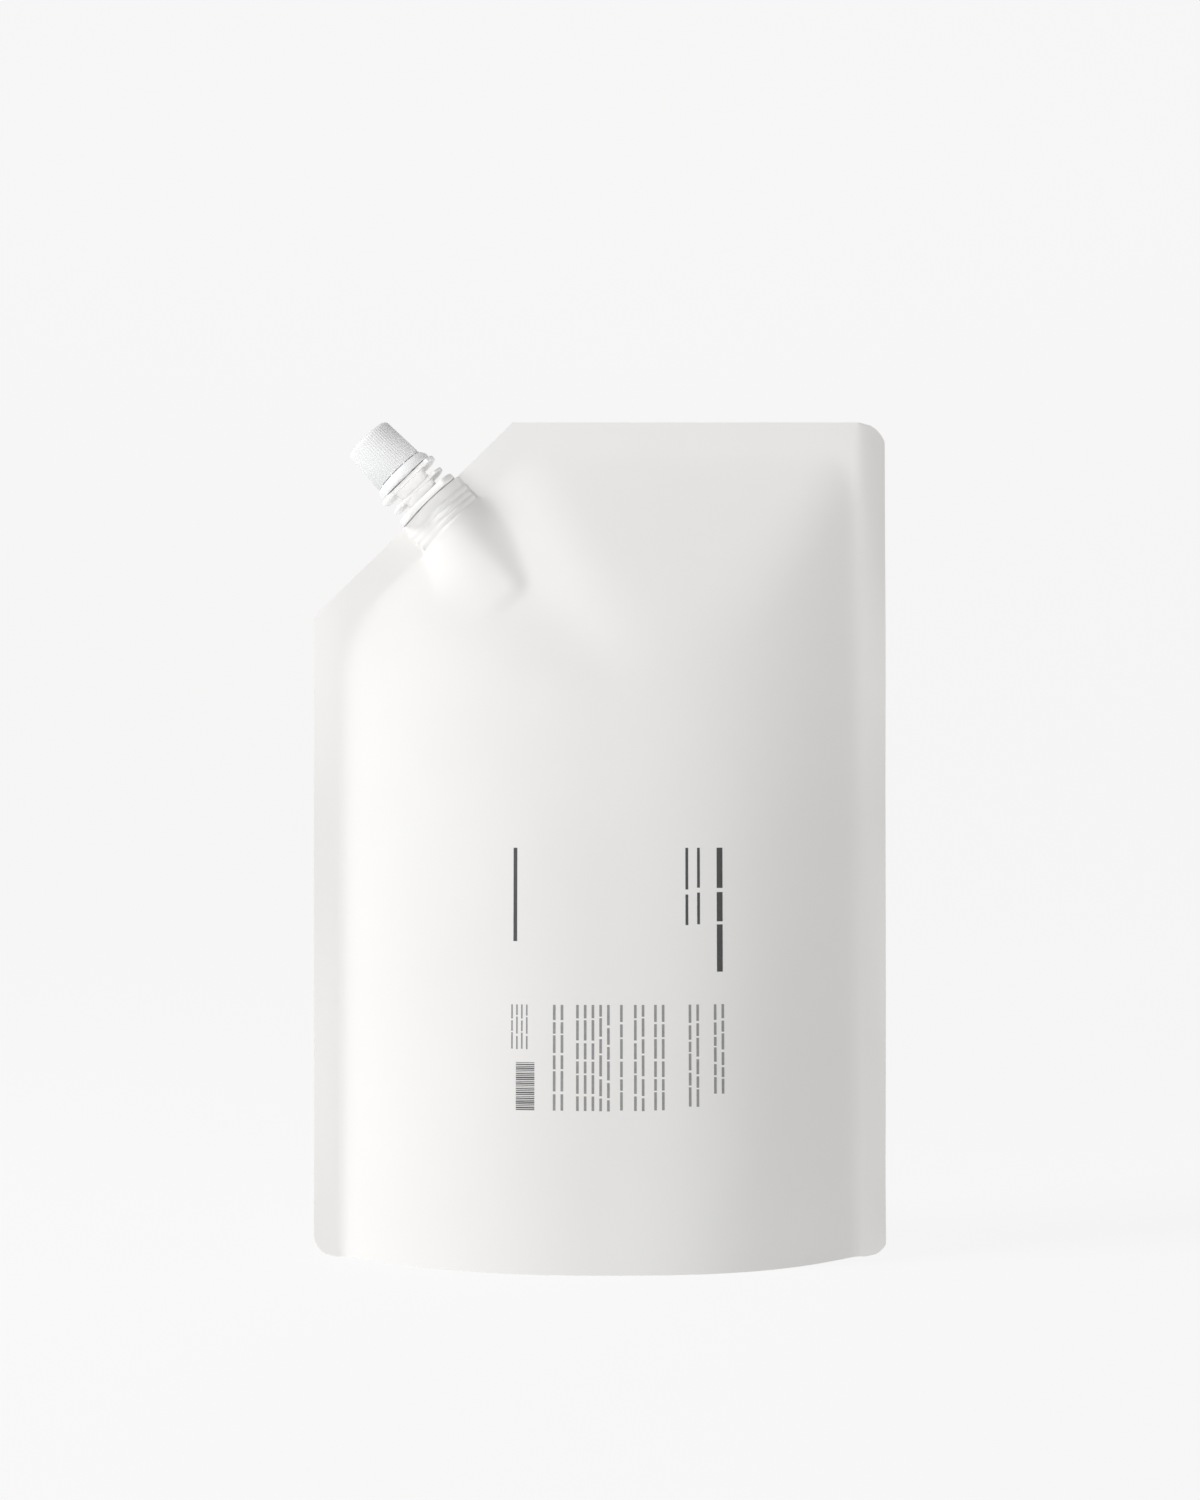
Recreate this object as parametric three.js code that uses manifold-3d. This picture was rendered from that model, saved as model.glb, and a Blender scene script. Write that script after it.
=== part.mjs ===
// Stand-up refill pouch for liquid hand soap, with a corner spout and a screw cap.
// Millimetres, +Z up. The origin is on the floor under the middle of the pouch, +X is to the right
// as the front is seen, and the front faces -Y.
import * as THREE from 'three';
import { mergeVertices } from 'three/addons/utils/BufferGeometryUtils.js';
import Module from 'manifold-3d';

const wasm = await Module();
wasm.setup();

// Pouch film
const pouchWidth = 190;
const pouchHeight = 277;
const filmThickness = 0.2; // one ply of the laminate; a seal is two plies
const sealWidth = 9.5; // flat heat-sealed margin at both sides, the top and the cut corner
const cutWidth = 66; // the cut corner's run along the top edge
const cutHeight = 64.6; // the cut corner's run down the left side
const topCornerRadius = 10;
const bottomCornerRadius = 7.5;
const cornerOvercut = 0.8; // the corner punch reaches this far past the right-hand edge

// How far the filled front and back stand from the flat seals
const rimDepth = 32; // at the foot
const shoulderDepth = 14; // what the side-to-side crown fades to at the top seal
const crownFade = 1.6; // how the crown fades with height: 1 is a straight taper
const crownPower = 2.3; // how square the crown is from side to side: 2 is a parabola
const topSlope = 0.28; // rise of the film from the top seal
const cutSlope = 0.25; // rise of the film from the cut corner's seal
const hipBlend = 5; // softness of the creases where those slopes meet the crown

// Bottom gusset
const gussetHeight = 42; // the fold's height at the side seals
const footSealHeight = 6; // height of the foot seal at mid width
const bellySlack = 16.5; // how far the filled fold would hang below the foot seal

// Spout: heights are along its axis, from the cut edge of the film and outwards
const spoutAlongCut = 54; // from the lower end of the cut corner
const boreRadius = 4.8;
const bodyRadius = 5.9; // tube between the rails
const neckRadius = 6.2; // threaded neck under the cap
const neckTop = 28;
const railSeat = 0.3; // gap between the film's edge and the first rail
const rails = [
  { radius: 11.7, bottom: railSeat, thickness: 2 },
  { radius: 10.8, bottom: 5.1, thickness: 1 },
  { radius: 11.5, bottom: 9.4, thickness: 1.5 },
];
const railFlat = 8.6; // half the distance across the rails' two flats
const beadRadius = 7.6; // bead that keeps the tamper band on the neck
const beadBottom = 13;
const beadThickness = 1;

// Weld base of the spout, between the films
const weldHalfWidth = 12;
const weldHalfThickness = 6.7;
const weldTipThickness = 0.8; // half thickness at the two ends
const weldDepth = 9.2;
const weldRibs = 3;
const weldRibWidth = 1.5;
const weldGrooveWidth = 0.6;
const weldGrooveDepth = 0.5;
const ridgeLength = 43; // where the film has risen to the ridge's height, in from the cut edge
const ridgeTaper = 0.7; // the ridge's width at that end, as a share of the weld base's

// Screw thread, right-handed
const threadPitch = 3.2;
const threadTurns = 1.5;
const threadHeight = 0.75;
const threadRootWidth = 1.3;
const threadTipWidth = 0.7;
const threadBottom = 18.2; // height of the neck thread's start
const threadStartAngle = 0.13;
const threadClearance = 0.35;

// Tamper band and cap
const clearance = 0.3; // gap kept between pieces that seat on each other
const bandHeight = 3.2;
const bandBottomRadius = 10.5;
const bandTopRadius = 9.6;
const bandHook = 0.7; // how far the band's inner lip reaches under the bead
const capBaseRadius = 9.2;
const capEndRadius = 8.6;
const capTopThickness = 1.7;
const capEdgeRound = 1.6;
const capRibs = 60;
const capRibDepth = 0.35;
const plugHeight = 2; // sealing plug inside the cap, in the mouth of the bore
const plugWall = 0.9;

const roundSegments = 32;

// Places that follow from the sizes above
const halfWidth = pouchWidth / 2;
const crownHalfWidth = halfWidth - sealWidth;
const topSealLine = pouchHeight - sealWidth;
const cutFoot = pouchHeight - cutHeight;
const cutLength = Math.hypot(cutWidth, cutHeight);
const cutAlong = { x: cutWidth / cutLength, z: cutHeight / cutLength };
const cutAngle = Math.atan2(cutHeight, cutWidth);
const spoutSeat = {
  x: -halfWidth + cutAlong.x * spoutAlongCut,
  z: cutFoot + cutAlong.z * spoutAlongCut,
};
const topRail = rails.at(-1);
const bandBottom = topRail.bottom + topRail.thickness + clearance;
const bandTop = bandBottom + bandHeight;
const capBase = bandTop + clearance;
const capCeiling = neckTop + clearance;
const capEnd = capCeiling + capTopThickness;
const capBore = neckRadius + threadHeight + threadClearance;

// Closed mesh to solid and back. Only positions are kept, so that shared vertices merge.
function solid(geometry) {
  const bare = new THREE.BufferGeometry().setAttribute('position', geometry.getAttribute('position').clone());
  if (geometry.index) bare.setIndex(geometry.index.clone());
  const merged = mergeVertices(bare, 1e-4);
  const index = merged.index.array;
  const triVerts = [];
  for (let i = 0; i < index.length; i += 3) {
    const [a, b, c] = index.slice(i, i + 3);
    if (a !== b && b !== c && c !== a) triVerts.push(a, b, c);
  }
  return new wasm.Manifold(
    new wasm.Mesh({
      numProp: 3,
      vertProperties: merged.getAttribute('position').array,
      triVerts: new Uint32Array(triVerts),
    }),
  );
}

function geometryOf(body) {
  const mesh = body.getMesh();
  return new THREE.BufferGeometry()
    .setAttribute('position', new THREE.BufferAttribute(new Float32Array(mesh.vertProperties), 3))
    .setIndex(new THREE.BufferAttribute(new Uint32Array(mesh.triVerts), 1))
    .toNonIndexed();
}

function piece(name, body, material) {
  const geometry = geometryOf(body);
  geometry.computeVertexNormals();
  const mesh = new THREE.Mesh(geometry, material);
  mesh.name = name;
  return mesh;
}

// Solid through a list of rings with equal counts of points, each end closed by a fan about its middle.
function loft(rings) {
  const count = rings[0].length;
  const middle = (ring) => ring.reduce((sum, p) => sum.add(p), new THREE.Vector3()).divideScalar(count);
  const points = [...rings.flat(), middle(rings[0]), middle(rings.at(-1))];
  const last = (rings.length - 1) * count;
  const ends = rings.length * count;
  const index = [];
  for (let i = 0; i < count; i++) {
    const next = (i + 1) % count;
    for (let ring = 0; ring < last; ring += count) {
      index.push(ring + i, ring + next, ring + count + next);
      index.push(ring + i, ring + count + next, ring + count + i);
    }
    index.push(next, i, ends, last + i, last + next, ends + 1);
  }
  const geometry = new THREE.BufferGeometry().setFromPoints(points);
  geometry.setIndex(index);
  return solid(geometry);
}

// Turned solid about the Z axis from [radius, height] points, listed upwards on the outside.
function turned(profile, segments = roundSegments) {
  const points = profile.map(([radius, height]) => new THREE.Vector2(radius, height));
  return solid(new THREE.LatheGeometry(points, segments).rotateX(Math.PI / 2));
}

function rod(radius, bottom, top) {
  return turned([
    [0, bottom],
    [radius, bottom],
    [radius, top],
    [0, top],
  ]);
}

function extruded(shape, bottom, top, curveSegments = 12) {
  const geometry = new THREE.ExtrudeGeometry(shape, { depth: top - bottom, bevelEnabled: false, curveSegments });
  return solid(geometry.translate(0, 0, bottom));
}

function evenly(from, to, steps) {
  return Array.from({ length: steps }, (_, i) => from + ((to - from) * i) / steps);
}

function smoothMin(a, b, softness) {
  const mix = THREE.MathUtils.clamp(0.5 + (0.5 * (b - a)) / softness, 0, 1);
  return THREE.MathUtils.lerp(b, a, mix) - softness * mix * (1 - mix);
}

// Outline of the pouch, row by row
function cornerReach(radius, overcut, fromEdge) {
  const drop = Math.max(0, radius - fromEdge);
  return halfWidth + overcut - radius + Math.sqrt(Math.max(0, radius * radius - drop * drop));
}

function rightEdge(z) {
  return Math.min(
    halfWidth,
    cornerReach(bottomCornerRadius, cornerOvercut, z),
    cornerReach(topCornerRadius, cornerOvercut, pouchHeight - z),
  );
}

function leftEdge(z) {
  const cut = -halfWidth + (Math.max(0, z - cutFoot) * cutWidth) / cutHeight;
  return Math.max(cut, -cornerReach(bottomCornerRadius, 0, z));
}

function leftSealLine(z) {
  const cut = -halfWidth + ((z - cutFoot) * cutWidth) / cutHeight + sealWidth / cutAlong.z;
  return Math.max(-crownHalfWidth, cut);
}

// Distance in from the cut edge, in the film's plane
function fromCut(x, z) {
  return (x + halfWidth) * cutAlong.z - (z - cutFoot) * cutAlong.x;
}

// How far the filled film stands off the middle plane
function crownDepth(x, z) {
  const across = 1 - (Math.abs(x) / crownHalfWidth) ** crownPower;
  const up = Math.max(0, 1 - z / topSealLine);
  return across * (shoulderDepth + (rimDepth - shoulderDepth) * up ** crownFade);
}

function filmDepth(x, z) {
  const topRise = topSlope * (topSealLine - z);
  const cutRise = cutSlope * (fromCut(x, z) - sealWidth);
  const hips = smoothMin(topRise, cutRise, hipBlend);
  return filmThickness + Math.max(0, smoothMin(crownDepth(x, z), hips, hipBlend));
}

// Filled pouch before the foot is hollowed: front and back film over rows of points, closed at the edges
function filledPouch() {
  const rows = [
    ...evenly(0, bottomCornerRadius, 4),
    ...evenly(bottomCornerRadius, cutFoot, 10),
    ...evenly(cutFoot, topSealLine, 12),
    ...evenly(topSealLine, pouchHeight, 4),
    pouchHeight,
  ];
  const columns = (z) => [
    leftEdge(z),
    ...evenly(leftSealLine(z), crownHalfWidth, 22),
    crownHalfWidth,
    rightEdge(z),
  ];
  const grid = rows.map((z) => columns(z).map((x) => ({ x, y: filmDepth(x, z), z })));
  const across = grid[0].length;
  const frontCount = rows.length * across;
  const front = (row, column) => row * across + column;
  const back = (row, column) => frontCount + front(row, column);
  const points = [-1, 1].flatMap((side) => grid.flat().flatMap((p) => [p.x, side * p.y, p.z]));
  const index = [];
  const quad = (a, b, c, d) => index.push(a, b, c, a, c, d);
  const top = rows.length - 1;
  const right = across - 1;
  for (let row = 0; row < top; row++) {
    for (let column = 0; column < right; column++) {
      const [r, c] = [row + 1, column + 1];
      quad(front(row, column), front(row, c), front(r, c), front(r, column));
      quad(back(row, column), back(r, column), back(r, c), back(row, c));
    }
    quad(front(row, 0), front(row + 1, 0), back(row + 1, 0), back(row, 0));
    quad(front(row, right), back(row, right), back(row + 1, right), front(row + 1, right));
  }
  for (let column = 0; column < right; column++) {
    quad(front(0, column), back(0, column), back(0, column + 1), front(0, column + 1));
    quad(front(top, column), front(top, column + 1), back(top, column + 1), back(top, column));
  }
  const geometry = new THREE.BufferGeometry();
  geometry.setAttribute('position', new THREE.Float32BufferAttribute(points, 3));
  geometry.setIndex(index);
  return solid(geometry);
}

// Space under the front half of the gusset: the foot's skirt outside it, the hanging film above it
function gussetSpace() {
  const skirt = 2 * filmThickness;
  const below = 1;
  const overlap = 0.05;
  const reach = 0.975 * crownHalfWidth;
  const stations = [...evenly(-reach, reach, 24), reach];
  const rings = stations.map((x) => {
    const outwards = (x / crownHalfWidth) ** 2;
    const seal = footSealHeight + (gussetHeight - footSealHeight) * outwards;
    const fold = seal - bellySlack * (1 - outwards);
    const wall = (z) => filmDepth(x, z) - skirt;
    const lowest = Math.max(fold, -below);
    const share = (seal - lowest) / (seal - fold);
    const inner = THREE.MathUtils.lerp(-wall(seal), overlap, share);
    return [
      new THREE.Vector3(x, -wall(0), -below),
      new THREE.Vector3(x, inner + overlap, -below),
      new THREE.Vector3(x, inner, lowest),
      new THREE.Vector3(x, -wall(seal), seal),
      new THREE.Vector3(x, -wall(0.5 * seal), 0.5 * seal),
    ];
  });
  return loft(rings);
}

// Lens-shaped section of the weld base, grown outwards by an offset
function weldSection(offset) {
  const tip = weldHalfWidth + offset;
  const end = weldTipThickness + offset;
  const crest = weldHalfThickness + offset;
  const bulge = 0.62 * tip;
  const shape = new THREE.Shape();
  shape.moveTo(tip, -end);
  shape.lineTo(tip, end);
  shape.bezierCurveTo(bulge, end + 0.45 * crest, 0.5 * bulge, crest, 0, crest);
  shape.bezierCurveTo(-0.5 * bulge, crest, -bulge, end + 0.45 * crest, -tip, end);
  shape.lineTo(-tip, -end);
  shape.bezierCurveTo(-bulge, -end - 0.45 * crest, -0.5 * bulge, -crest, 0, -crest);
  shape.bezierCurveTo(0.5 * bulge, -crest, bulge, -end - 0.45 * crest, tip, -end);
  return shape;
}

// Weld base with its ribs. The film's sleeve and the socket in it are the same form, grown.
function weldBase(offset, skin, bottom, top) {
  let body = extruded(weldSection(offset - weldGrooveDepth), bottom, top, 5);
  for (let rib = 0; rib < weldRibs; rib++) {
    const low = -weldDepth + rib * (weldRibWidth + weldGrooveWidth);
    body = body.add(extruded(weldSection(offset), low - skin, low + weldRibWidth + skin, 5));
  }
  return body;
}

// Ridge that the film makes between the weld base and the place where the filled front has risen to its height
function filmRidge() {
  const steps = 6;
  const around = 20;
  const sunk = 0.95;
  const start = weldDepth - weldRibWidth / 2;
  const startHeight = weldHalfThickness + clearance + filmThickness;
  const endHeight = sunk * cutSlope * (ridgeLength - sealWidth);
  const rings = Array.from({ length: steps + 1 }, (_, step) => {
    const run = 1 - step / steps;
    const width = THREE.MathUtils.lerp(1, ridgeTaper, run) * weldHalfWidth;
    const height = THREE.MathUtils.lerp(startHeight, endHeight, run);
    const depth = -THREE.MathUtils.lerp(start, ridgeLength, run);
    return Array.from({ length: around }, (_, i) => {
      const angle = (2 * Math.PI * i) / around;
      return new THREE.Vector3(width * Math.cos(angle), height * Math.sin(angle) ** 3, depth);
    });
  });
  return loft(rings);
}

// A helical ridge, with its root sunk in the wall that carries it
function threadRidge(rootRadius, tipRadius, startHeight) {
  const steps = Math.round(threadTurns * 18);
  const rings = Array.from({ length: steps + 1 }, (_, i) => {
    const turn = (threadTurns * i) / steps;
    const angle = threadStartAngle + 2 * Math.PI * turn;
    const height = startHeight + threadPitch * turn;
    const point = (radius, offset) =>
      new THREE.Vector3(radius * Math.cos(angle), radius * Math.sin(angle), height + offset);
    return [
      point(rootRadius, -threadRootWidth / 2),
      point(tipRadius, -threadTipWidth / 2),
      point(tipRadius, threadTipWidth / 2),
      point(rootRadius, threadRootWidth / 2),
    ];
  });
  return loft(rings);
}

// Guide rail of the spout: a disc with two flats, which keep the spout from turning on the filling rails
function railPlate({ radius, bottom, thickness }) {
  const half = Math.asin(railFlat / radius);
  const shape = new THREE.Shape();
  shape.absarc(0, 0, radius, -half, half, false);
  shape.absarc(0, 0, radius, Math.PI - half, Math.PI + half, false);
  return extruded(shape, bottom, bottom + thickness, 10);
}

function spoutSolid() {
  const threadSink = 0.3;
  const mouthRound = 0.5;
  const neck = turned([
    [0, -weldDepth],
    [bodyRadius, -weldDepth],
    [bodyRadius, topRail.bottom],
    [neckRadius, topRail.bottom],
    [neckRadius, beadBottom],
    [beadRadius, beadBottom],
    [neckRadius + threadHeight, beadBottom + beadThickness],
    [neckRadius, beadBottom + beadThickness],
    [neckRadius, neckTop - mouthRound],
    [neckRadius - mouthRound, neckTop],
    [0, neckTop],
  ]);
  const thread = threadRidge(neckRadius - threadSink, neckRadius + threadHeight, threadBottom);
  const body = rails.reduce((made, rail) => made.add(railPlate(rail)), neck.add(thread));
  const past = 1;
  return body.add(weldBase(0, 0, -weldDepth, railSeat)).subtract(rod(boreRadius, -weldDepth - past, neckTop + past));
}

function pouchSolid() {
  const seat = new THREE.Matrix4().makeRotationY(-cutAngle).setPosition(spoutSeat.x, 0, spoutSeat.z);
  const past = 1;
  const sleeve = weldBase(clearance + filmThickness, filmThickness, -weldDepth - clearance - filmThickness, 0);
  const socket = weldBase(clearance, 0, -weldDepth - clearance, past);
  const gusset = gussetSpace();
  return filledPouch()
    .add(filmRidge().add(sleeve).subtract(socket).transform(seat.toArray()))
    .subtract(socket.transform(seat.toArray()))
    .subtract(gusset)
    .subtract(gusset.mirror([0, 1, 0]));
}

function tamperBandSolid() {
  const inner = beadRadius + clearance;
  const lip = beadRadius - bandHook;
  const lipTop = beadBottom - clearance;
  const edge = 0.6;
  const outside = turned([
    [0, bandBottom],
    [bandBottomRadius - edge, bandBottom],
    [bandBottomRadius, bandBottom + edge],
    [bandBottomRadius, bandBottom + bandHeight / 2],
    [bandTopRadius, bandTop],
    [0, bandTop],
  ]);
  const past = 1;
  return outside.subtract(rod(lip, bandBottom - past, bandTop + past)).subtract(rod(inner, lipTop, bandTop + past));
}

// Outside of the cap: grip ribs on a gentle taper, fading out over the rounded end
function capOutside() {
  const roundSteps = 2;
  const levels = [{ height: capBase, radius: capBaseRadius, rib: capRibDepth }];
  for (let i = 0; i <= roundSteps; i++) {
    const angle = (0.5 * Math.PI * i) / roundSteps;
    levels.push({
      height: capEnd - capEdgeRound * (1 - Math.sin(angle)),
      radius: capEndRadius - capEdgeRound * (1 - Math.cos(angle)),
      rib: capRibDepth * (1 - i / roundSteps),
    });
  }
  const rings = levels.map(({ height, radius, rib }) =>
    Array.from({ length: 2 * capRibs }, (_, i) => {
      const angle = (Math.PI * i) / capRibs;
      const reach = radius - (i % 2 ? 0 : rib);
      return new THREE.Vector3(reach * Math.cos(angle), reach * Math.sin(angle), height);
    }),
  );
  return loft(rings);
}

function capSolid() {
  const past = 1;
  const plugRadius = boreRadius - clearance;
  const plug = rod(plugRadius, capCeiling - plugHeight, capCeiling + past).subtract(
    rod(plugRadius - plugWall, capCeiling - plugHeight - past, capCeiling),
  );
  return capOutside().subtract(rod(capBore, capBase - past, capCeiling)).add(plug);
}

// Colours and finishes
const film = new THREE.MeshStandardMaterial({ color: 0xf2f1ef, roughness: 0.5, metalness: 0 });
const spoutPlastic = new THREE.MeshStandardMaterial({ color: 0xefeeea, roughness: 0.4, metalness: 0 });
const capPlastic = new THREE.MeshStandardMaterial({ color: 0xeff0f2, roughness: 0.42, metalness: 0 });

// The spout, band and cap stand on the cut corner, square to it
const closure = new THREE.Group();
closure.position.set(spoutSeat.x, 0, spoutSeat.z);
closure.rotation.y = -cutAngle;
closure.add(piece('spout', spoutSolid(), spoutPlastic));
closure.add(piece('tamper_band', tamperBandSolid(), capPlastic));
closure.add(piece('cap', capSolid(), capPlastic));

const refillPack = new THREE.Group();
refillPack.add(piece('pouch', pouchSolid(), film));
refillPack.add(closure);

export default refillPack;
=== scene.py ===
import math

import bmesh
import bpy
from mathutils import Matrix, Vector


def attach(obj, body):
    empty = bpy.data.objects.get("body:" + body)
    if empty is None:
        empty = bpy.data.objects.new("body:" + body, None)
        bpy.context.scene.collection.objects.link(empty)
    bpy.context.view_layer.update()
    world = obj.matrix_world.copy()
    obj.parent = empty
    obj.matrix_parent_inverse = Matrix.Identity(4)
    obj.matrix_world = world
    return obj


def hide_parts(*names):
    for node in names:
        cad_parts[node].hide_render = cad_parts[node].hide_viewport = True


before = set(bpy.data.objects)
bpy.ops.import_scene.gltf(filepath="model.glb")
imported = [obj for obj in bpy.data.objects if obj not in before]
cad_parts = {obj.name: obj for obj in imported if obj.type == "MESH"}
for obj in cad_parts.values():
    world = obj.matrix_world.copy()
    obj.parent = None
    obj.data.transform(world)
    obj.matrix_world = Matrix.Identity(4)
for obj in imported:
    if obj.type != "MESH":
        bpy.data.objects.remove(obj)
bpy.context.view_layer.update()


# The pouch: two panels of white laminate and a folded gusset, heat-sealed at the sides, the top, the cut
# corner and the foot. The soap fills it out, so each panel stands off the flat seals like a lens, and over
# the spout's ribbed weld base the film opens and closes down again in a long ridge.

mm = 0.001
half_width, height = 95 * mm, 277 * mm
ply = 0.2 * mm
seal = 9.5 * mm
foot_corner, top_corner, overcut = 7.5 * mm, 10 * mm, 0.8 * mm
crown_half = half_width - seal
top_line = height - seal
cut_run, cut_drop = 66 * mm, 64.6 * mm
cut_foot = height - cut_drop
cut_x, cut_z = cut_run / math.hypot(cut_run, cut_drop), cut_drop / math.hypot(cut_run, cut_drop)
spout_along = 54 * mm
spout_seat = Vector((-half_width + cut_x * spout_along, 0, cut_foot + cut_z * spout_along))
weld_half_width, weld_half_depth, weld_tip, weld_length = 12 * mm, 6.7 * mm, 0.8 * mm, 9.2 * mm
weld_groove, rib_pitch, rib_wide = 0.5 * mm, 2.1 * mm, 1.5 * mm
piece_gap = 0.3 * mm
ridge_end, ridge_fade = 43 * mm, 9 * mm
belly_top, belly_swell = 14 * mm, 18 * mm
left_fullness, right_fullness = 2.3, 2.9
top_slope, cut_slope = 0.28, 0.25
peel = 1.2 * mm
left_curl, right_curl, corner_curl, seal_wave = 0.4 * mm, 1.1 * mm, 2.5 * mm, 0.5 * mm
seam_middle, seam_rise, fold_drop = 6 * mm, 36 * mm, 16.5 * mm
seam_share, rim_share = 0.56, 0.93
columns, rows, gusset_rows = 80, 140, 28
fine_far, fine_left, fine_right, fine_margin = 52 * mm, -36 * mm, 24 * mm, 2 * mm


def smooth_min(a, b, soft):
    mix = min(1.0, max(0.0, 0.5 + 0.5 * (b - a) / soft))
    return b + (a - b) * mix - soft * mix * (1 - mix)


def smooth_max(a, b, soft):
    return -smooth_min(-a, -b, soft)


def smooth_step(low, high, value):
    share = min(1.0, max(0.0, (value - low) / (high - low)))
    return share * share * (3 - 2 * share)


def from_cut(x, z):
    """Distance in from the cut edge, and along it from the spout's axis."""
    dx, dz = x - spout_seat.x, z - spout_seat.z
    return dx * cut_z - dz * cut_x, dx * cut_x + dz * cut_z


def weld_lens(aside, grow=0.0):
    """Half depth of the spout's weld base across its width."""
    tip = weld_half_width + grow
    share = abs(aside) / tip
    if share >= 1:
        return 0.0
    return weld_tip + grow + (weld_half_depth - weld_tip) * (1 - share * share) ** 1.4


def rib_height(inward):
    """1 on the weld ribs, 0 in the grooves and above the top rib."""
    rise = 0.0
    for rib in range(3):
        far = weld_length - rib * rib_pitch
        near = far - rib_wide
        soft = 0.35 * mm
        rise += smooth_step(near - soft, near + soft, inward) * smooth_step(far + soft, far - soft, inward)
    return min(1.0, rise)


def ridge_depth(inward, aside):
    """The film over the weld base, and the ridge that runs on from it into the rising front."""
    showing = 0.4 + 0.6 * smooth_step(-7 * mm, 3 * mm, aside)
    over = weld_lens(aside, piece_gap + ply) - weld_groove * showing * (1 - rib_height(inward))
    start = weld_length - rib_wide / 2
    run = min(1.0, max(0.0, (inward - start) / (ridge_end - start)))
    right, left = 1.15 + 0.5 * run - 1.1 * run ** 2, 1.05 + 1.9 * run
    wide = weld_half_width * (right if aside > 0 else left)
    low, high = weld_half_depth + piece_gap + ply, 0.9 * cut_slope * (ridge_end - seal)
    tall = (low + (high - low) * run) * (1 - smooth_step(0.9 * ridge_end, ridge_end + ridge_fade, inward))
    ridge = tall * max(0.0, 1 - (aside / wide) ** 2) ** 1.5
    past = smooth_step(weld_length, weld_length + 1.2 * mm, inward)
    return max(0.0, over) * (1 - past) + ridge * past


def film_depth(x, z):
    """How far the filled film stands off the middle plane."""
    inward, aside = from_cut(x, z)
    up = max(0.0, 1 - z / top_line)
    fullness = left_fullness if x < 0 else right_fullness
    crown = (1 - (abs(x) / crown_half) ** fullness) * (belly_top + belly_swell * up ** 1.6)
    rise = cut_slope * (1 + 0.6 * smooth_step(8 * mm, -35 * mm, aside))
    hips = smooth_min(top_slope * (top_line - z), rise * (inward - seal), 1.5 * mm)
    full = max(0.0, smooth_min(crown, hips, 5 * mm))
    depth = math.hypot(full, peel) - peel
    if inward < ridge_end + ridge_fade and aside < 20 * mm:
        ridge = ridge_depth(inward, aside)
        blend = 0.8 * mm + 4.2 * mm * smooth_step(0.2, 0.6, inward / ridge_end)
        depth = smooth_max(depth, ridge, blend * min(1.0, 0.01 + ridge / (1.5 * mm)))
    return ply + max(0.0, depth)


def corner_reach(radius, past, from_edge):
    """Half width of the film at a rounded corner whose arc is centred this much past its tangent."""
    drop = max(0.0, radius - from_edge)
    return half_width + past - radius + math.sqrt(max(0.0, radius * radius - drop * drop))


def right_edge(z):
    foot, top = corner_reach(foot_corner, overcut, z), corner_reach(top_corner, overcut, height - z)
    return min(half_width, foot, top)


def left_edge(z):
    return max(-half_width + max(0.0, z - cut_foot) * cut_run / cut_drop, -corner_reach(foot_corner, 0, z))


def left_seal_line(z):
    return max(-crown_half, -half_width + (z - cut_foot) * cut_run / cut_drop + seal / cut_z)


def between(share, stops):
    """Value at a share of the way along a list of (share, value) stops."""
    for (low, a), (high, b) in zip(stops, stops[1:]):
        if share <= high:
            return a + (b - a) * (share - low) / (high - low)
    return stops[-1][1]


def film_column(share, z):
    return between(share, [
        (0, left_edge(z)),
        (5 / columns, left_seal_line(z)),
        (1 - 5 / columns, crown_half),
        (1, right_edge(z)),
    ])


pouch = bmesh.new()
bmesh.ops.create_grid(pouch, x_segments=columns, y_segments=rows, size=0.5)
for vert in pouch.verts:
    z = between(vert.co.y + 0.5, [
        (0, 0), (10 / rows, 8 * mm), (94 / rows, cut_foot), (130 / rows, top_line), (1, height),
    ])
    vert.co = (film_column(vert.co.x + 0.5, z), 0, z)

by_spout = []
for face in pouch.faces:
    middle = face.calc_center_median()
    inward, aside = from_cut(middle.x, middle.z)
    if inward < fine_far and fine_left < aside < fine_right:
        by_spout.extend(face.edges)
bmesh.ops.subdivide_edges(pouch, edges=list(set(by_spout)), cuts=4, use_grid_fill=True)

for vert in pouch.verts:
    vert.co.y = -film_depth(vert.co.x, vert.co.z)
past_weld = []
for vert in pouch.verts:
    inward, aside = from_cut(vert.co.x, vert.co.z)
    past_rib = weld_length + fine_margin < inward < fine_far - fine_margin
    if past_rib and fine_left + fine_margin < aside < fine_right - fine_margin:
        past_weld.append(vert)
for _ in range(30):
    bmesh.ops.smooth_vert(pouch, verts=past_weld, factor=0.5, use_axis_y=True)
copied = bmesh.ops.duplicate(pouch, geom=pouch.verts[:] + pouch.edges[:] + pouch.faces[:])
back_verts = [part for part in copied["geom"] if isinstance(part, bmesh.types.BMVert)]
bmesh.ops.scale(pouch, vec=(1, -1, 1), verts=back_verts)


def sealed_border(edge):
    """An outer edge of the film where the two plies lie flat on each other."""
    flat = all(abs(vert.co.y) < 0.35 * mm for vert in edge.verts)
    return edge.is_boundary and flat and any(vert.co.z > 0 for vert in edge.verts)


twin = copied["vert_map"]
front_edges = [part for part in copied["geom_orig"] if isinstance(part, bmesh.types.BMEdge)]
for edge in filter(sealed_border, front_edges):
    a, b = edge.verts
    pouch.faces.new((a, b, twin[b], twin[a]))

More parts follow.
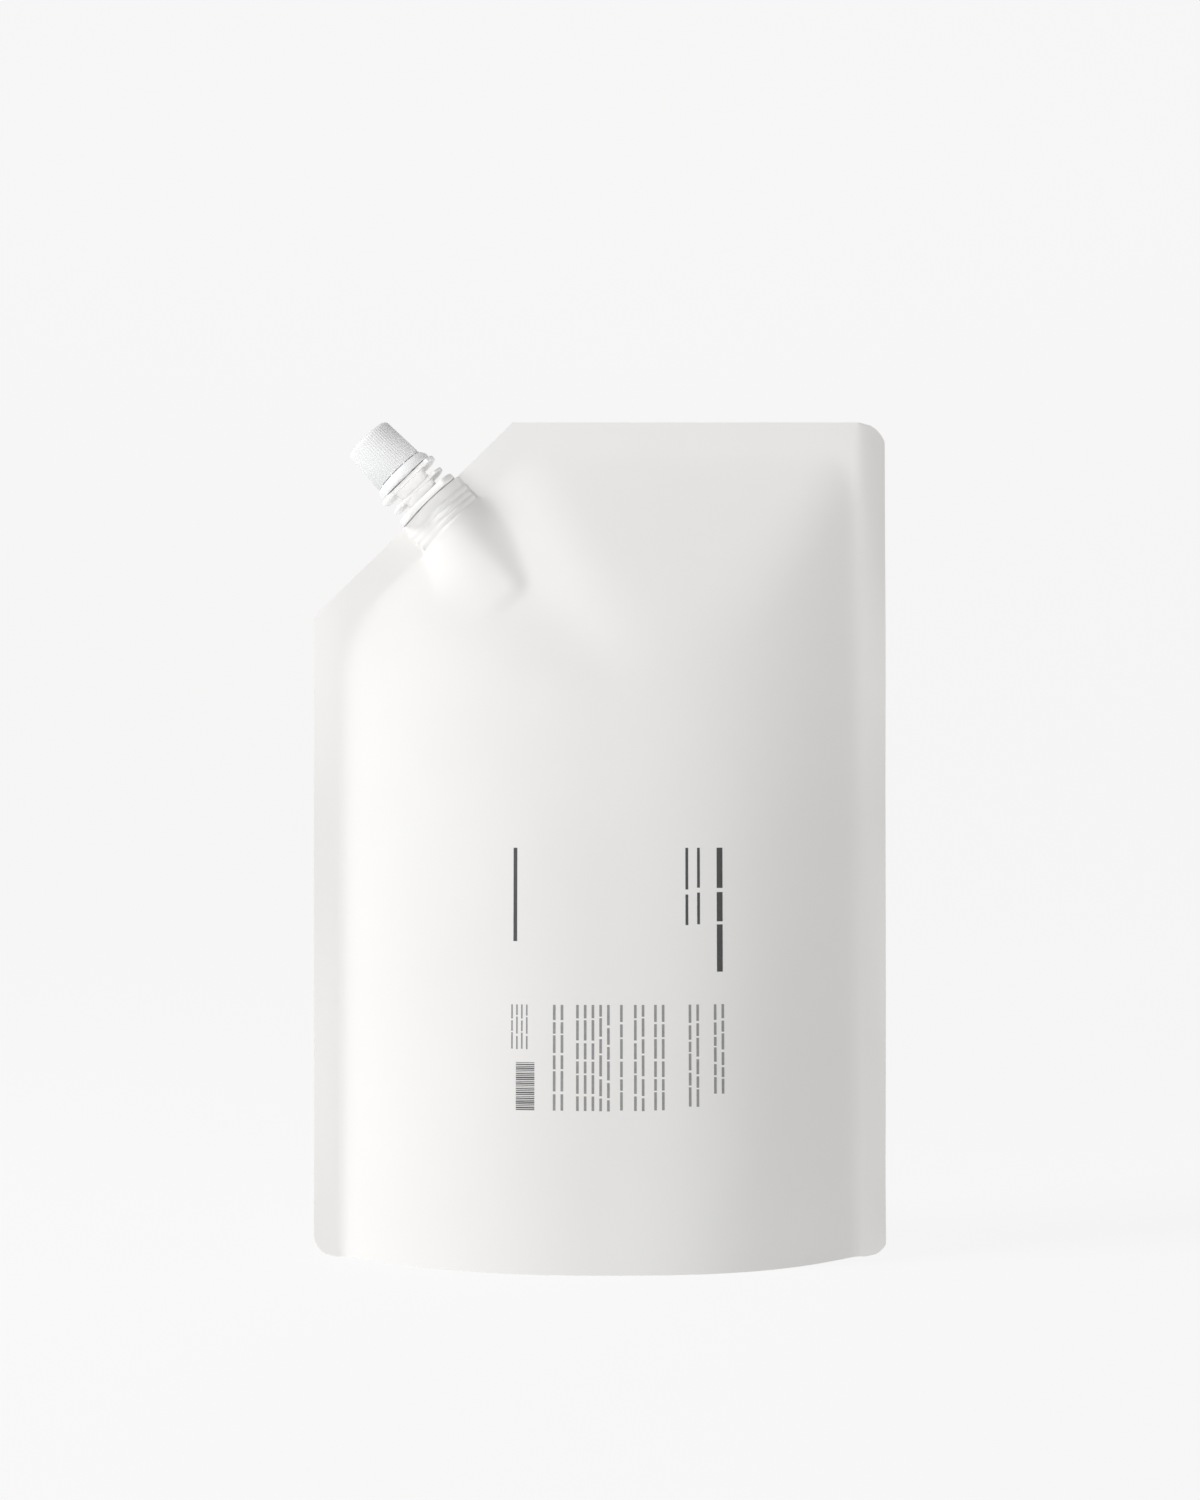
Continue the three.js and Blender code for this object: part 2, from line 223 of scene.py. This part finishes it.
gusset = bmesh.ops.create_grid(pouch, x_segments=columns, y_segments=gusset_rows, size=0.5)
for vert in gusset["verts"]:
    x = film_column(vert.co.x + 0.5, 0)
    across, side = abs(vert.co.y) * 2, math.copysign(1, vert.co.y)
    rim = film_depth(x, 0)
    outward = (x / crown_half) ** 2
    if abs(x) > 0.975 * crown_half:
        vert.co = (x, side * rim, 0)
        continue
    seam = seam_middle + seam_rise * outward
    fold = seam - fold_drop * (1 - outward)
    wall = film_depth(x, seam) - 2 * ply
    if across > 0.99:
        vert.co = (x, side * rim, 0)
    elif across > seam_share:
        z = seam * (rim_share - across) / (rim_share - seam_share) if across < rim_share else 0
        vert.co = (x, side * (film_depth(x, min(seam, z)) - 2 * ply), min(seam, z))
    else:
        share = across / seam_share
        vert.co = (x, side * wall * share, max(0.0, fold + (seam - fold) * share))
bmesh.ops.remove_doubles(pouch, verts=pouch.verts[:], dist=0.005 * mm)

mouth = [edge for edge in pouch.edges if edge.is_boundary]
for draw_in, sink in ((ply, 0.0), (0.0, weld_length + piece_gap)):
    rim = bmesh.ops.extrude_edge_only(pouch, edges=mouth)["geom"]
    mouth = [part for part in rim if isinstance(part, bmesh.types.BMEdge)]
    for vert in [part for part in rim if isinstance(part, bmesh.types.BMVert)]:
        inside = max(0.0, abs(vert.co.y) - draw_in)
        vert.co += Vector((cut_z, 0, -cut_x)) * sink
        vert.co.y = math.copysign(inside, vert.co.y)
bmesh.ops.edgeloop_fill(pouch, edges=mouth)
for vert in pouch.verts:
    past_seal = max(0.0, abs(vert.co.x) - crown_half) / seal
    wave = math.sin(vert.co.z / (23 * mm) + math.copysign(1.1, vert.co.x))
    curl = left_curl
    if vert.co.x > 0:
        curl = right_curl + corner_curl * smooth_step(185 * mm, 255 * mm, vert.co.z)
    vert.co.y += (curl + seal_wave * wave) * past_seal ** 1.5 * smooth_step(0, 30 * mm, vert.co.z)
bmesh.ops.recalc_face_normals(pouch, faces=pouch.faces[:])


def finished(mesh, name, material, body, node=None, sharp=35):
    """The bmesh as a smooth-shaded object that rides on its body."""
    data = bpy.data.meshes.new(name)
    mesh.to_mesh(data)
    mesh.free()
    data.shade_smooth()
    data.set_sharp_from_angle(angle=math.radians(sharp))
    data.materials.append(material)
    obj = bpy.data.objects.new(name, data)
    bpy.context.scene.collection.objects.link(obj)
    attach(obj, body)
    if node:
        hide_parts(node)
    return obj


def principled(name, color, roughness):
    material = bpy.data.materials.new(name)
    material.use_nodes = True
    shader = material.node_tree.nodes["Principled BSDF"]
    shader.inputs["Base Color"].default_value = (*color, 1)
    shader.inputs["Roughness"].default_value = roughness
    return material, shader


film, film_shader = principled("white_film", (0.9, 0.895, 0.885), 0.46)
film_shader.inputs["Specular IOR Level"].default_value = 0.2
nodes, links = film.node_tree.nodes, film.node_tree.links
place = nodes.new("ShaderNodeTexCoord")
tint_noise = nodes.new("ShaderNodeTexNoise")
tint_noise.inputs["Scale"].default_value = 22
tint_noise.inputs["Detail"].default_value = 3
links.new(place.outputs["Object"], tint_noise.inputs["Vector"])
tint = nodes.new("ShaderNodeValToRGB")
tint.color_ramp.elements[0].position, tint.color_ramp.elements[1].position = 0.3, 0.7
tint.color_ramp.elements[0].color = (0.9, 0.892, 0.878, 1)
tint.color_ramp.elements[1].color = (0.915, 0.912, 0.905, 1)
links.new(tint_noise.outputs["Fac"], tint.inputs["Fac"])
links.new(tint.outputs["Color"], film_shader.inputs["Base Color"])
sheen_noise = nodes.new("ShaderNodeTexNoise")
sheen_noise.inputs["Scale"].default_value = 70
sheen_noise.inputs["Detail"].default_value = 4
links.new(place.outputs["Object"], sheen_noise.inputs["Vector"])
sheen = nodes.new("ShaderNodeMapRange")
sheen.inputs["To Min"].default_value, sheen.inputs["To Max"].default_value = 0.56, 0.68
links.new(sheen_noise.outputs["Fac"], sheen.inputs["Value"])
links.new(sheen.outputs["Result"], film_shader.inputs["Roughness"])
grain = nodes.new("ShaderNodeTexNoise")
grain.inputs["Scale"].default_value = 1400
grain.inputs["Detail"].default_value = 2
links.new(place.outputs["Object"], grain.inputs["Vector"])
film_bump = nodes.new("ShaderNodeBump")
film_bump.inputs["Strength"].default_value = 0.06
film_bump.inputs["Distance"].default_value = 0.0002
links.new(grain.outputs["Fac"], film_bump.inputs["Height"])
links.new(film_bump.outputs["Normal"], film_shader.inputs["Normal"])
finished(pouch, "film_pouch", film, "pack", "pouch")


# The print: dark grey ink on the front panel, in plain bars that run down the pack. There are a few bold
# bars by the middle, rows of finer ones below them, and a field of narrow stripes at the lower left.

ink_thick, ink_lift = 0.06 * mm, 0.03 * mm


def inked(ink, x, z, wide, tall, across_steps, up_steps):
    """Adds one thin patch of ink, laid on the bulging film about a middle given in millimetres."""
    patch = bmesh.ops.create_grid(ink, x_segments=across_steps, y_segments=up_steps, size=0.5)["verts"]
    for vert in patch:
        across, up = (x + wide * vert.co.x) * mm, (z + tall * vert.co.y) * mm
        vert.co = (across, -film_depth(across, up) - ink_lift, up)


def bar(ink, x, top, bottom, thick):
    """Adds one bar that is narrow across and runs from top to bottom."""
    steps = max(2, round((top - bottom) / 2))
    inked(ink, x, (top + bottom) / 2, thick, top - bottom, 2, steps)


def row_of_bars(ink, x, top, bottom, thick, count, gap):
    """Adds a row of bars of uneven lengths that fill the way from top to bottom."""
    shares = [1 + (place * 0.618 + x * 0.37) % 1 for place in range(count)]
    for place, share in enumerate(shares):
        length = (top - bottom - gap * (count - 1)) * share / sum(shares)
        start = top - (top - bottom + gap) * sum(shares[:place]) / sum(shares)
        bar(ink, x, start, start - length, thick)


def printed(mesh, name, color):
    """The bars as thin closed pieces of ink on the film."""
    bmesh.ops.recalc_face_normals(mesh, faces=mesh.faces[:])
    bmesh.ops.solidify(mesh, geom=mesh.faces[:], thickness=ink_thick)
    bmesh.ops.recalc_face_normals(mesh, faces=mesh.faces[:])
    material, shader = principled(name, color, 0.5)
    nodes, links = material.node_tree.nodes, material.node_tree.links
    spot = nodes.new("ShaderNodeTexCoord")
    patch = nodes.new("ShaderNodeTexNoise")
    patch.inputs["Scale"].default_value = 900
    links.new(spot.outputs["Object"], patch.inputs["Vector"])
    shade = nodes.new("ShaderNodeMix")
    shade.data_type = "RGBA"
    shade.inputs["A"].default_value = (*color, 1)
    shade.inputs["B"].default_value = (*[1.5 * part for part in color], 1)
    links.new(patch.outputs["Fac"], shade.inputs["Factor"])
    links.new(shade.outputs["Result"], shader.inputs["Base Color"])
    finished(mesh, name, material, "pack")


bold_top = 136.4
bold = bmesh.new()
row_of_bars(bold, 38.9, bold_top, 96, 1.9, 3, 1.3)
row_of_bars(bold, 32, bold_top, 111.8, 0.9, 2, 1.4)
row_of_bars(bold, 28.2, bold_top, 111.6, 0.9, 2, 1.4)
bar(bold, -27.5, bold_top, 106.2, 1.2)
for stripe in range(26):
    stripe_tall = 0.18 + 0.3 * (stripe * 0.618 % 1)
    inked(bold, -24.2, 67.2 - 0.6 * stripe, 6, stripe_tall, 3, 1)
printed(bold, "bold_print", (0.06, 0.06, 0.062))

fine_top, fine_pitch = 85.8, 2.5
blocks = [
    (39.8, 2, 57), (31.6, 2, 53), (20.4, 2, 52), (13.9, 2, 52), (6.9, 1, 52), (2.7, 5, 52), (-12.3, 2, 52),
]
fine = bmesh.new()
for first, lines, bottom in blocks:
    for line in range(lines):
        row_of_bars(fine, first - fine_pitch * line, fine_top, bottom, 0.85, 6, 0.7)
for line in range(4):
    row_of_bars(fine, -23.7 - 1.6 * line, fine_top, 71.5, 0.5, 3, 0.6)
printed(fine, "fine_print", (0.25, 0.25, 0.255))


# The spout: one moulding in natural white plastic, welded between the films at the cut corner. It has a
# squared tube with three guide rails, each a disc with two flats, and above them the threaded neck with the
# bead that holds the band. Heights run up the neck from the cut edge, in millimetres like the radii.

tube_radius, tube_top, bore_radius = 5.9, 9.6, 4.8
neck_radius, neck_top = 6.2, 28
bead_radius, bead_foot, bead_edge, bead_top = 7.6, 13, 13.3, 14
thread_tip, thread_pitch, thread_turns = 6.95, 3.2, 1.5
grip_half, grip_foot, grip_top = 6, 1, 10
weld_foot = -weld_length / mm
rails = [(11.7, 8.6, 0.3, 2), (10.8, 7, 5.1, 1), (11.5, 7, 9.4, 1.5)]


def turned(mesh, profile, steps=96):
    """Adds a ring turned about the Z axis from (radius, height) corners, and gives back its vertices."""
    corners = [mesh.verts.new((radius * mm, 0, rise * mm)) for radius, rise in profile]
    loop = [mesh.edges.new(pair) for pair in zip(corners, corners[1:] + corners[:1])]
    before = set(mesh.verts) - set(corners)
    bmesh.ops.spin(
        mesh, geom=corners + loop, cent=(0, 0, 0), axis=(0, 0, 1),
        angle=math.tau, steps=steps, use_merge=True,
    )
    return [vert for vert in mesh.verts if vert not in before]


def soften(mesh, verts, offset, segments=2):
    """Rounds the sharp edges among these vertices."""
    held = set(verts)
    edges = [
        edge for edge in mesh.edges
        if edge.verts[0] in held and edge.verts[1] in held
        and len(edge.link_faces) == 2 and edge.calc_face_angle() > math.radians(30)
    ]
    bmesh.ops.bevel(
        mesh, geom=edges, offset=offset * mm, offset_type="OFFSET", segments=segments, profile=0.5,
        affect="EDGES", material=-1, clamp_overlap=True,
    )


def helix(mesh, root, tip, start, steps=72):
    """Adds a right-handed thread ridge from its root radius to its tip radius."""
    profile = [(root, -0.65), (tip, -0.35), (tip, 0.35), (root, 0.65)]
    corners = [mesh.verts.new((radius * mm, 0, (start + rise) * mm)) for radius, rise in profile]
    section = mesh.faces.new(corners)
    bmesh.ops.spin(
        mesh, geom=[section, *section.edges, *section.verts], cent=(0, 0, 0), axis=(0, 0, 1),
        dvec=(0, 0, thread_pitch * thread_turns / steps * mm), angle=math.tau * thread_turns, steps=steps,
    )


spout = bmesh.new()
neck = turned(spout, [
    (tube_radius, weld_foot), (tube_radius, tube_top), (neck_radius, tube_top), (neck_radius, bead_foot),
    (bead_radius, bead_foot), (bead_radius, bead_edge), (thread_tip, bead_top), (neck_radius, bead_top),
    (neck_radius, neck_top), (bore_radius, neck_top), (bore_radius, weld_foot),
])
bmesh.ops.recalc_face_normals(spout, faces=spout.faces[:])
soften(spout, neck, 0.15)
grip_root = grip_half - 0.4
grip = turned(spout, [
    (grip_root, grip_foot), (grip_half, grip_foot), (grip_half, grip_top), (grip_root, grip_top),
])
for vert in grip:
    across, deep = abs(vert.co.x), abs(vert.co.y)
    if math.hypot(across, deep) > (grip_half - 0.2) * mm:
        square = grip_half * mm / (across ** 5 + deep ** 5) ** 0.2
        vert.co.x, vert.co.y = vert.co.x * square, vert.co.y * square
rail_root = tube_radius - 0.2
for radius, flat, bottom, thick in rails:
    top = bottom + thick
    rail = turned(spout, [(rail_root, bottom), (radius, bottom), (radius, top), (rail_root, top)])
    for vert in rail:
        vert.co.y = max(-flat * mm, min(flat * mm, vert.co.y))
    bmesh.ops.recalc_face_normals(spout, faces=list({face for vert in rail for face in vert.link_faces}))
    soften(spout, rail, 0.25)
helix(spout, tube_radius, thread_tip, 18.2)

rib_wall, rib_rise, groove_deep = rib_wide / mm, rib_pitch / mm, weld_groove / mm
rib_steps = [(0, 0), (rib_wall, 0), (rib_wall, groove_deep), (rib_rise, groove_deep)]
weld_steps = [(weld_foot + rib * rib_rise + rise, groove) for rib in range(3) for rise, groove in rib_steps]
layer = bmesh.ops.create_circle(spout, segments=64, radius=1, cap_ends=True)["verts"][0].link_faces[0]
around = [math.atan2(vert.co.y, vert.co.x) for vert in layer.verts]
for step, (rise, groove) in enumerate(weld_steps + [(0.4, groove_deep)]):
    if step:
        layer = bmesh.ops.extrude_discrete_faces(spout, faces=[layer])["faces"][0]
    tip = weld_half_width - groove * mm
    for vert, angle in zip(layer.verts, around):
        deep = weld_lens(0.9999 * tip * math.cos(angle), -groove * mm)
        vert.co = (tip * math.cos(angle), math.copysign(deep, math.sin(angle)), rise * mm)
bmesh.ops.edgeloop_fill(spout, edges=[edge for edge in spout.edges if edge.is_boundary])
bmesh.ops.recalc_face_normals(spout, faces=spout.faces[:])
on_cut = Matrix.Translation(spout_seat) @ Matrix.Rotation(-math.atan2(cut_drop, cut_run), 4, "Y")
bmesh.ops.transform(spout, matrix=on_cut, verts=spout.verts[:])

moulded = bpy.data.node_groups.new("moulded_surface", "ShaderNodeTree")
moulded.interface.new_socket("Light", in_out="INPUT", socket_type="NodeSocketColor")
moulded.interface.new_socket("Shade", in_out="INPUT", socket_type="NodeSocketColor")
moulded.interface.new_socket("Color", in_out="OUTPUT", socket_type="NodeSocketColor")
moulded.interface.new_socket("Roughness", in_out="OUTPUT", socket_type="NodeSocketFloat")
moulded.interface.new_socket("Normal", in_out="OUTPUT", socket_type="NodeSocketVector")
group_nodes, group_links = moulded.nodes, moulded.links
group_in, group_out = group_nodes.new("NodeGroupInput"), group_nodes.new("NodeGroupOutput")
spot = group_nodes.new("ShaderNodeTexCoord")
flow = group_nodes.new("ShaderNodeTexNoise")
flow.inputs["Scale"].default_value = 160
flow.inputs["Detail"].default_value = 4
group_links.new(spot.outputs["Object"], flow.inputs["Vector"])
blend = group_nodes.new("ShaderNodeMix")
blend.data_type = "RGBA"
group_links.new(flow.outputs["Fac"], blend.inputs["Factor"])
group_links.new(group_in.outputs["Light"], blend.inputs["A"])
group_links.new(group_in.outputs["Shade"], blend.inputs["B"])
group_links.new(blend.outputs["Result"], group_out.inputs["Color"])
polish = group_nodes.new("ShaderNodeMapRange")
polish.inputs["To Min"].default_value, polish.inputs["To Max"].default_value = 0.34, 0.46
group_links.new(flow.outputs["Fac"], polish.inputs["Value"])
group_links.new(polish.outputs["Result"], group_out.inputs["Roughness"])
pits = group_nodes.new("ShaderNodeTexNoise")
pits.inputs["Scale"].default_value = 900
group_links.new(spot.outputs["Object"], pits.inputs["Vector"])
relief = group_nodes.new("ShaderNodeBump")
relief.inputs["Strength"].default_value = 0.08
relief.inputs["Distance"].default_value = 0.00003
group_links.new(pits.outputs["Fac"], relief.inputs["Height"])
group_links.new(relief.outputs["Normal"], group_out.inputs["Normal"])


def moulding(name, light, shade):
    """A milky moulded plastic that lets some light through its walls."""
    material, shader = principled(name, light, 0.4)
    surface = material.node_tree.nodes.new("ShaderNodeGroup")
    surface.node_tree = moulded
    surface.inputs["Light"].default_value = (*light, 1)
    surface.inputs["Shade"].default_value = (*shade, 1)
    for output, socket in (("Color", "Base Color"), ("Roughness", "Roughness"), ("Normal", "Normal")):
        material.node_tree.links.new(surface.outputs[output], shader.inputs[socket])
    shader.inputs["Subsurface Weight"].default_value = 0.05
    shader.inputs["Subsurface Radius"].default_value = (1, 0.97, 0.93)
    shader.inputs["Subsurface Scale"].default_value = 2 * mm
    return material


spout_plastic = moulding("spout_plastic", (0.965, 0.962, 0.952), (0.94, 0.937, 0.926))
finished(spout, "spout_moulding", spout_plastic, "pack", "spout")


# The tamper band: a loose ring of the cap's plastic below the cap, flared at its foot, with a lip that hooks
# under the neck's bead. It is moulded with the cap, and small bridges still join its top edge to it.

band_radius, band_neck, band_bore, lip_radius = 10.5, 9.6, 7.9, 6.9
band_foot, band_flare, lip_top, band_top = 11.2, 12.8, 12.7, 14.4
bridges, bridge_ring = 10, 9
band = bmesh.new()
ring = turned(band, [
    (lip_radius, band_foot), (band_radius, band_foot), (band_radius, band_flare), (band_neck, band_top),
    (band_bore, band_top), (band_bore, lip_top), (lip_radius, lip_top),
])
bmesh.ops.recalc_face_normals(band, faces=band.faces[:])
soften(band, ring, 0.3, 3)
bridge_size = Matrix.Diagonal((0.5 * mm, 0.8 * mm, 0.32 * mm, 1))
bridge_place = Matrix.Translation((bridge_ring * mm, 0, (band_top + 0.13) * mm))
for bridge in range(bridges):
    turn = Matrix.Rotation(math.tau * bridge / bridges, 4, "Z")
    bmesh.ops.create_cube(band, size=1, matrix=turn @ bridge_place @ bridge_size)
bmesh.ops.transform(band, matrix=on_cut, verts=band.verts[:])
cap_plastic = moulding("cap_plastic", (0.86, 0.865, 0.873), (0.835, 0.841, 0.85))
finished(band, "tamper_ring", cap_plastic, "tamper_band", "tamper_band")


# The cap: a tapered screw cap in white plastic, moulded with fine grip ribs that fade into its rounded end.
# Inside it has the thread that runs on the neck, and a plug ring that seals the mouth of the bore.

cap_foot, cap_shoulder, cap_top = 14.7, 28.4, 30
foot_radius, shoulder_radius, end_round = 9.2, 8.6, 1.6
rib_count, rib_deep = 60, 0.13
bore_wall, bore_end = 7.3, 28.3
plug_radius, plug_bore, plug_foot = 4.5, 3.6, 26.3
cap = bmesh.new()
loop = bmesh.ops.create_circle(cap, segments=8 * rib_count, radius=foot_radius * mm)["verts"]
levels = [
    (foot_radius - 0.2, cap_foot, rib_deep), (foot_radius, cap_foot + 0.2, rib_deep),
    (shoulder_radius, cap_shoulder, rib_deep),
]
for step in range(1, 9):
    turn = math.pi / 2 * step / 8
    radius = shoulder_radius - end_round * (1 - math.cos(turn))
    rise = cap_top - end_round * (1 - math.sin(turn))
    levels.append((radius, rise, rib_deep * max(0, 1 - step / 6)))
levels += [(3.5, cap_top, 0), (1.2, cap_top, 0)]


def cap_level(verts, radius, rise, rib):
    """Sets a ring of vertices to a radius and a height, with grooves of this depth between the grip ribs."""
    for vert in verts:
        angle = math.atan2(vert.co.y, vert.co.x)
        groove = 0.5 + 0.5 * math.cos(rib_count * angle)
        reach = (radius - rib * groove ** 1.6) * mm
        vert.co = (reach * math.cos(angle), reach * math.sin(angle), rise * mm)


def carried_up(edges, stations):
    """Extrudes a ring of edges from station to station, and closes the last one."""
    for station in stations:
        made = bmesh.ops.extrude_edge_only(cap, edges=edges)["geom"]
        verts = [part for part in made if isinstance(part, bmesh.types.BMVert)]
        edges = [part for part in made if isinstance(part, bmesh.types.BMEdge)]
        cap_level(verts, *station)
    bmesh.ops.edgeloop_fill(cap, edges=edges)


cap_level(loop, *levels[0])
foot = cap.edges[:]
carried_up(foot, levels[1:])
bore = [
    (bore_wall + 0.2, cap_foot), (bore_wall, cap_foot + 0.2), (bore_wall, bore_end), (plug_radius, bore_end),
    (plug_radius, plug_foot + 0.2), (plug_radius - 0.2, plug_foot), (plug_bore, plug_foot),
    (plug_bore, bore_end), (1, bore_end),
]
carried_up(foot, [(radius, rise, 0) for radius, rise in bore])
helix(cap, bore_wall + 0.3, 6.55, 16.6)
bmesh.ops.recalc_face_normals(cap, faces=cap.faces[:])
bmesh.ops.transform(cap, matrix=on_cut, verts=cap.verts[:])
finished(cap, "screw_cap", cap_plastic, "cap", "cap", 50)


# The studio: a pale sweep that runs from the floor up behind the pack, a soft light at the left, a weak broad
# one in front, and two narrow lamps on the spout and its cap. The camera is level with the middle of the pack
# and square to its front.

sweep_wide, sweep_long = 8, 6
floor_front, floor_run, bend_radius = -2, 3.2, 0.8
sweep = bmesh.new()
bmesh.ops.create_grid(sweep, x_segments=40, y_segments=60, size=0.5)
for vert in sweep.verts:
    run = (vert.co.y + 0.5) * sweep_long
    past_floor = max(0.0, run - floor_run)
    turn = min(math.pi / 2, past_floor / bend_radius)
    deep = floor_front + min(run, floor_run) + bend_radius * math.sin(turn)
    rise = bend_radius * (1 - math.cos(turn)) + max(0.0, past_floor - bend_radius * math.pi / 2)
    vert.co = (vert.co.x * sweep_wide, deep, rise)
backdrop_data = bpy.data.meshes.new("studio_sweep")
sweep.to_mesh(backdrop_data)
sweep.free()
backdrop_data.shade_smooth()
backdrop = bpy.data.objects.new("studio_sweep", backdrop_data)
bpy.context.scene.collection.objects.link(backdrop)
paper, paper_shader = principled("studio_paper", (0.1, 0.1, 0.1), 0.9)
paper_shader.inputs["Specular IOR Level"].default_value = 0
paper_shader.inputs["Emission Color"].default_value = (1, 1, 1, 1)
paper_shader.inputs["Emission Strength"].default_value = 0.87
backdrop_data.materials.append(paper)

world = bpy.data.worlds.new("studio_air")
bpy.context.scene.world = world
world.use_nodes = True
world.node_tree.nodes["Background"].inputs["Color"].default_value = (1, 0.96, 0.91, 1)
world.node_tree.nodes["Background"].inputs["Strength"].default_value = 0.17


def lamp(name, kind, place, aim, power):
    """A light of this kind, turned to what it lights."""
    light = bpy.data.lights.new(name, kind)
    light.energy = power
    holder = bpy.data.objects.new(name, light)
    holder.location = place
    holder.rotation_mode = "QUATERNION"
    holder.rotation_quaternion = (Vector(aim) - Vector(place)).to_track_quat("-Z", "Y")
    bpy.context.scene.collection.objects.link(holder)
    return light


def softbox(name, place, aim, width, tall, power):
    light = lamp(name, "AREA", place, aim, power)
    light.shape = "RECTANGLE"
    light.size, light.size_y = width, tall


def snoot(name, place, aim, cone, size, power):
    light = lamp(name, "SPOT", place, aim, power)
    light.spot_size, light.spot_blend = math.radians(cone), 1
    light.shadow_soft_size = size


band_middle = on_cut @ Vector((0, 0, 15 * mm))
softbox("window", (-1.2, -0.39, 0.85), (0, 0, 0.17), 0.36, 0.54, 12)
softbox("front_fill", (-0.5, -1.7, 0.6), (0, 0, 0.14), 1, 1, 6.5)
snoot("side_snoot", spout_seat + Vector((0.92, -0.65, 0.45)), spout_seat, 8, 0.12, 20)
snoot("front_snoot", band_middle + Vector((0.6, -1.02, 0.2)), band_middle, 1.9, 0.015, 17)

camera_data = bpy.data.cameras.new("camera")
camera_data.sensor_width = 36
camera_data.lens = 60.83
camera = bpy.data.objects.new("camera", camera_data)
camera.location = (0, -0.842, 0.1682)
camera.rotation_euler = (math.pi / 2, 0, 0)
bpy.context.scene.collection.objects.link(camera)
bpy.context.scene.camera = camera
bpy.context.scene.view_settings.view_transform = "Standard"
bpy.context.view_layer.update()
